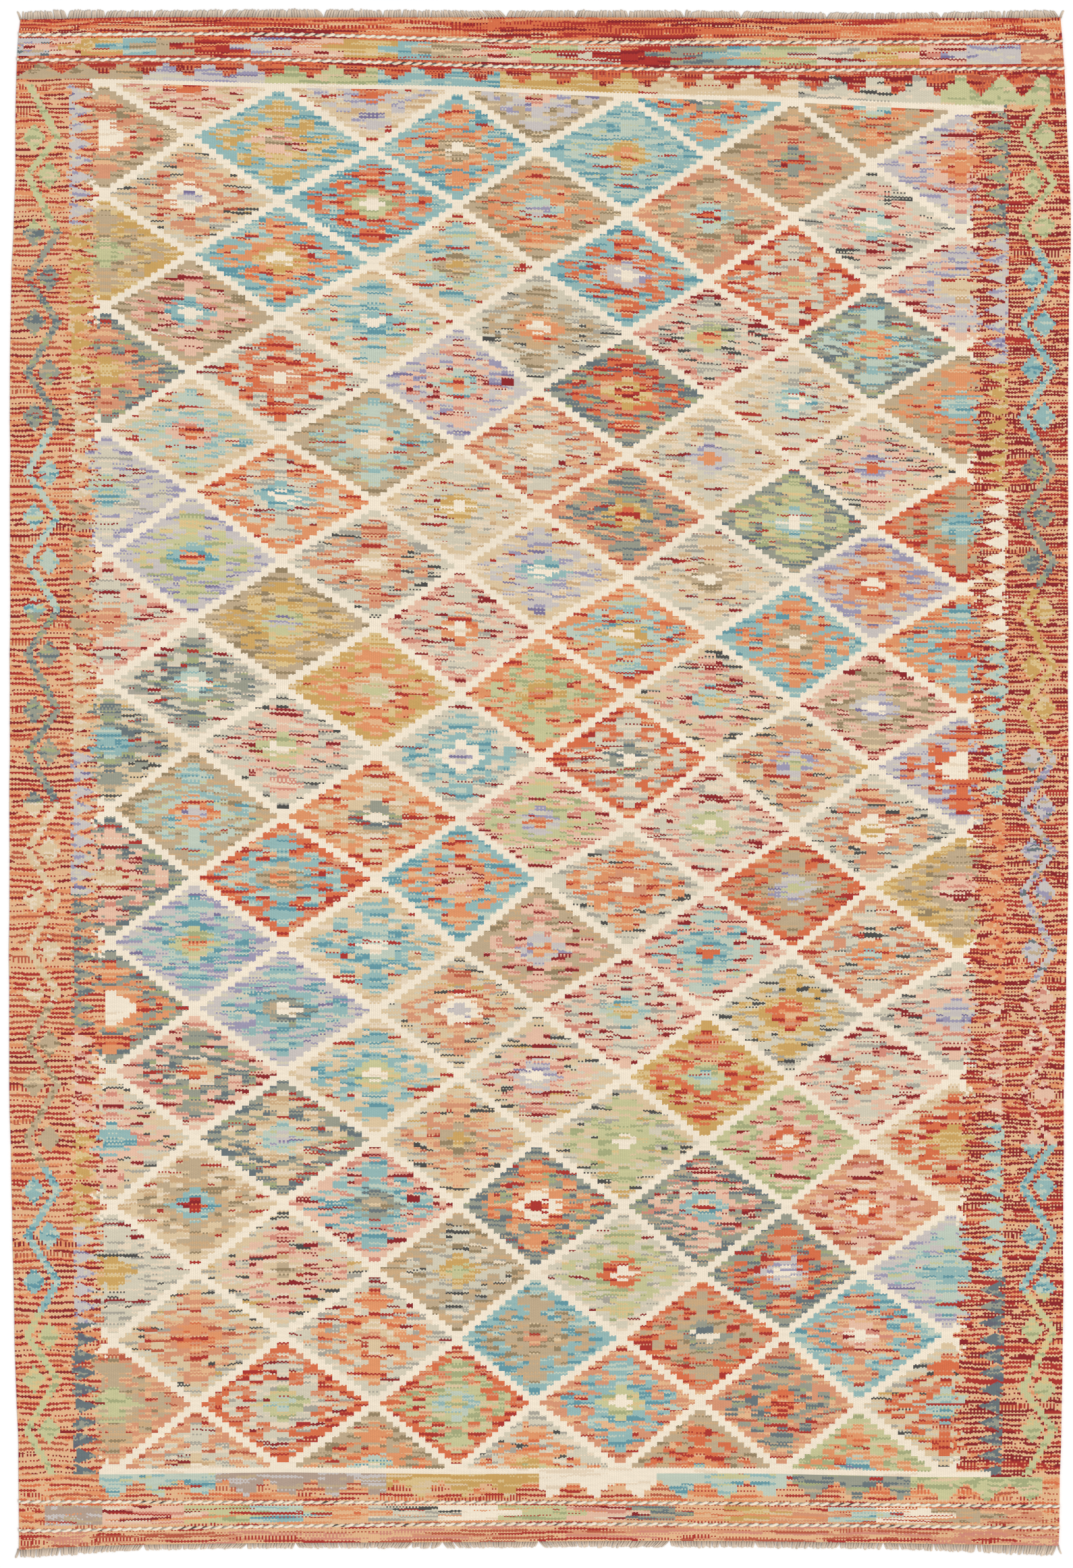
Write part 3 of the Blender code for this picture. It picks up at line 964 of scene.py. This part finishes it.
def finish_yarn(open_ends=False):
    """Closes a yarn's ends where they are open, turns its faces out and smooths them."""
    bpy.ops.object.mode_set(mode="EDIT")
    bpy.ops.mesh.select_all(action="SELECT")
    if open_ends:
        bpy.ops.mesh.fill_holes(sides=SIDES)
    bpy.ops.mesh.normals_make_consistent(inside=False)
    bpy.ops.object.mode_set(mode="OBJECT")
    bpy.ops.object.shade_smooth()


def cord_yarn(name, line, radius, start):
    """One of the two yarns of a twined line, as a tube that winds from selvedge to selvedge."""
    xs, ys = line
    left = np.interp(ys[0], *left_side) - PAST_SELVEDGE
    right = np.interp(ys[-1], *right_side) + PAST_SELVEDGE
    turns = round((right - left) / TURN)
    deselect_all()
    bpy.ops.mesh.primitive_cylinder_add(vertices=SIDES, radius=1, depth=1, end_fill_type="NOTHING")
    yarn = added(name)
    cut_rings([cut / RINGS_PER_TURN - 0.5 for cut in range(1, RINGS_PER_TURN)])
    set_out(yarn, turns, (0, 0, 1), merge=True)
    co = places_of(yarn.data)
    turned = co[:, 2] + 0.5
    x = left + (right - left) * turned / turns
    plump = 1 + PLUMP_SLOW * np.sin(turned * PLUMP_TURNS + start)
    plump = plump + PLUMP_IN_TURN * np.cos(2 * math.pi * turned + start)
    angle = -2 * math.pi * turned + start
    y = np.interp(x, xs, ys) + TWIST_RADIUS * np.cos(angle) + co[:, 0] * radius * plump
    rise = TWIST_RADIUS * np.sin(angle) + co[:, 1] * radius * plump
    z = CLOTH_THICKNESS + cockle(x, y) + FLATTEN * rise
    move_points(yarn.data, np.stack([x, y, z], axis=1))
    finish_yarn(open_ends=True)
    return yarn


def place_on(tree):
    """A point's place, as its three parts."""
    return parts_of(Value(tree.nodes.new("ShaderNodeTexCoord").outputs["Object"]))


def cord_material(name, dyes):
    """A twisted yarn whose colour wanders between a few dyes along the line."""
    material, tree, shader = wool_material(name)
    place = place_on(tree)
    wander = noise(stretched(place, WANDER), scale=1.0)
    stops = [(DYES_FROM + DYES_SPREAD * number / (len(dyes) - 1), dye_colour(dye))
             for number, dye in enumerate(dyes)]
    shade, fibre = wool(stretched(place, CORD_FIBRES), unevenness=0.35)
    dress(shader, ramp_of(wander, stops), shade, fibre, depth=0.0005, strength=0.5)
    return material


cord_materials = {
    "ivory": cord_material("twined_ivory", ("cream", "ivory", "ivory")),
    "grey": cord_material("twined_grey", ("charcoal", "grey", "grey", "pale_grey")),
}
for line_name, line in twined_lines.items():
    for yarn_name, (radius, start) in CORD_YARNS.items():
        piece = cord_yarn(f"twined_{line_name.replace(' ', '_')}_{yarn_name}", line, radius, start)
        piece.data.materials.append(cord_materials[yarn_name])
        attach(piece, "root")

# %% [markdown]
# ## The fringe
#
# The fringe is what is left of the warps, cut short. Each strand is a blunt tube, and what makes the fringe
# look real is that it is combed: strands lean in groups, close up or leave a gap, and no two are quite as
# long. One strand is modelled, an Array sets out a whole end of them, and then their points are combed.

# %% Model one strand, set out a row and comb it
STRANDS = 390
STRAND_SIDES = 7
STRAND_CUTS = (0.15, 0.4, 0.65, 0.85, 0.95)  # where its rings are, as shares of its length
STRAND_WIDTH = 0.0026  # half of it
STRAND_HEIGHT = 0.0012
ROOT_INSIDE = 0.0015  # how far a strand starts inside the cloth
APART = 4  # half widths from one strand to the next before they are combed
TIPS_FROM = 0.006  # points of the CAD fringe further from the cloth than this are tips
CORNER_INSIDE = 0.001  # how far from the cloth's corners the first and last strand stand
UNEVEN_ROOT = 0.0004
LENGTH_CHANGE = (-0.02, 0.05)  # the mean and the spread of it, as shares of the length
GROUP_STRANDS = (5, 22)
GROUP_LEAN, STRAND_LEAN, CORNER_LEAN = 0.0038, 0.0009, 0.006
CLOSE_UP = 0.08  # how much the strands of a group draw together at their tips
LEAN_CURVE = 1.4
ARCH, ARCH_HEIGHT = 2.6, (0.0003, 0.0011)
UNEVEN_SIZE = 0.10
TAPER = 0.10
SHOULDER, TIP = (0.93, 0.80), (0.99, 0.45)  # past a share of the length, a share of the thickness
# the third value paints shade and light along the plies' twist into the fringe's colour, and the fourth is
# each strand's own tone
PLY_SLANT, PLY_TURNS, PAINTED_PLY_SHADE, TONE_SHADE = 0.6, 2600.0, 0.05, 0.05
WARP_FIBRES = (2500.0, 700.0)
ROOT_COLOUR, TIP_COLOUR = (166, 147, 129), (214, 196, 177)
TIP_COLOUR_FROM = 0.75


def fringe(name, node, end_line, outward, seed):
    """The strands of one end, combed from the cloth's edge to the tips of the CAD fringe."""
    comb = np.random.default_rng(seed)
    deselect_all()
    # one strand, a blunt tube one unit long that stands on its root
    bpy.ops.mesh.primitive_cylinder_add(vertices=STRAND_SIDES, radius=1, depth=1, location=(0, 0, 0.5))
    bpy.ops.object.transform_apply(location=True, rotation=False, scale=False)
    strand = added(name)
    cut_rings(STRAND_CUTS)
    per_strand = len(strand.data.vertices)
    set_out(strand, STRANDS, (APART, 0, 0))
    co = places_of(strand.data).reshape(STRANDS, per_strand, 3)
    co[:, :, 0] -= APART * np.arange(STRANDS)[:, None]

    tips = points_of(node)
    past_edge = (tips[:, 1] - np.interp(tips[:, 0], *end_line)) * outward
    tip_line = line_through(tips[past_edge > TIPS_FROM])
    left, right = end_line[0].min() + CORNER_INSIDE, end_line[0].max() - CORNER_INSIDE
    root_x = np.linspace(left, right, STRANDS) + comb.normal(0, UNEVEN_ROOT, STRANDS)
    root_y = np.interp(root_x, *end_line) - outward * ROOT_INSIDE
    change = 1 + comb.normal(*LENGTH_CHANGE, STRANDS)
    length = (np.interp(root_x, *tip_line) - root_y) * outward * change

    starts = np.cumsum(comb.integers(*GROUP_STRANDS, STRANDS))
    group = np.searchsorted(starts, np.arange(STRANDS), side="right")
    middle = np.array([root_x[group == g].mean() for g in group])
    lean = comb.normal(0, GROUP_LEAN, group.max() + 1)[group] + comb.normal(0, STRAND_LEAN, STRANDS)
    lean += (middle - root_x) * CLOSE_UP
    lean[0], lean[-1] = -CORNER_LEAN, CORNER_LEAN
    lift = comb.uniform(*ARCH_HEIGHT, STRANDS)
    size = comb.normal(1.0, UNEVEN_SIZE, STRANDS)

    t = co[:, :, 2]
    blunt = np.where(t > TIP[0], TIP[1], np.where(t > SHOULDER[0], SHOULDER[1], 1.0))
    taper = (1 - TAPER * t) * blunt * size[:, None]
    x = root_x[:, None] + lean[:, None] * t ** LEAN_CURVE + co[:, :, 0] * STRAND_WIDTH * taper
    y = root_y[:, None] + outward * t * length[:, None]
    z = lift[:, None] * np.sin(t * ARCH) + STRAND_HEIGHT * (size[:, None] + co[:, :, 1] * taper)
    move_points(strand.data, np.stack([x, y, z], axis=2))
    tone = np.repeat(comb.normal(0, 1, STRANDS), per_strand)
    for attribute, values in (("tone", tone), ("along", t.ravel())):
        strand.data.attributes.new(attribute, "FLOAT", "POINT").data.foreach_set(
            "value", values.astype(np.float32))
    finish_yarn()
    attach(strand, "root")
    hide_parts(node)
    return strand


def warp_material():
    """Undyed wool, a little darker at the root, with the twist of its two plies as a bump and as painted
    light and shade.
    """
    material, tree, shader = wool_material("warp_ends", roughness=0.85)
    x, y, _ = place_on(tree)
    tone, along = carried(tree, "tone", "Fac"), carried(tree, "along", "Fac")
    ply = ((x * PLY_SLANT + y) * PLY_TURNS).maths("SINE")
    shade, fibre = wool(vector_of(x * WARP_FIBRES[0], y * WARP_FIBRES[1], tone), unevenness=0.45)
    stops = [(place, (*(linear(channel) for channel in colour), 1))
             for place, colour in ((0.0, ROOT_COLOUR), (TIP_COLOUR_FROM, TIP_COLOUR))]
    # painted shade and light: the colour is darker in the grooves of the ply twist and lighter on its ridges
    shade = shade * (tone * TONE_SHADE + 1) * (ply * PAINTED_PLY_SHADE + 1)
    dress(shader, ramp_of(along, stops), shade, ply + fibre, depth=0.0004, strength=0.5)
    return material


warp_ends = warp_material()
fringes = [
    fringe("fringe_strands_top", "fringe_top", top_end, 1, 5),
    fringe("fringe_strands_foot", "fringe_foot", foot_end, -1, 8),
]
for piece in fringes:
    piece.data.materials.append(warp_ends)
    print(piece.name, "has", len(piece.data.polygons), "faces")

# %% [markdown]
#
# The rug is one sheet of cloth that was never cut: it lies as it came off the loom. Its fringe and
# its twined lines belong to it.

# %% [markdown]
# ## The studio
#
# The rug was photographed from straight above on white. So the camera looks straight down without
# perspective, and the light is even, with one large soft lamp that leans a little to show the relief.

# %% Set the floor, the light and the camera
PHOTO_SIZE = (1590, 2324)
METRES_PER_PIXEL = 0.0013
PHOTO_MIDDLE = (-0.0065, -0.0007)  # what the middle of the photograph shows, in the rug's frame
FLOOR_SHADER = {"Base Color": (0.93, 0.93, 0.93, 1), "Roughness": 0.9, "Specular IOR Level": 0.1}

deselect_all()
bpy.ops.mesh.primitive_plane_add(size=14, location=(0, 0, -0.0004))
floor = added("studio_floor")
floor.data.materials.append(new_material("studio_floor", FLOOR_SHADER)[0])

world = bpy.data.worlds.new("studio")
world.use_nodes = True
world.node_tree.nodes["Background"].inputs["Color"].default_value = (1, 1, 1, 1)
world.node_tree.nodes["Background"].inputs["Strength"].default_value = 0.72
bpy.context.scene.world = world

bpy.ops.object.light_add(type="SUN", location=(-2.2, 2.6, 5.0))
lamp = added("soft_lamp")
lamp.data.angle = math.radians(30)
lamp.data.energy = 1.4
lamp.rotation_euler = (math.radians(30), 0, math.radians(40))

bpy.ops.object.camera_add(location=(*PHOTO_MIDDLE, 6.0), rotation=(0, 0, 0))
camera = added("overhead_camera")
camera.data.type = "ORTHO"
camera.data.ortho_scale = max(PHOTO_SIZE) * METRES_PER_PIXEL
camera.data.dof.use_dof = False
bpy.context.scene.camera = camera
bpy.context.scene.view_settings.view_transform = "Standard"
print("the camera sees", *(round(side * METRES_PER_PIXEL, 3) for side in PHOTO_SIZE), "m")
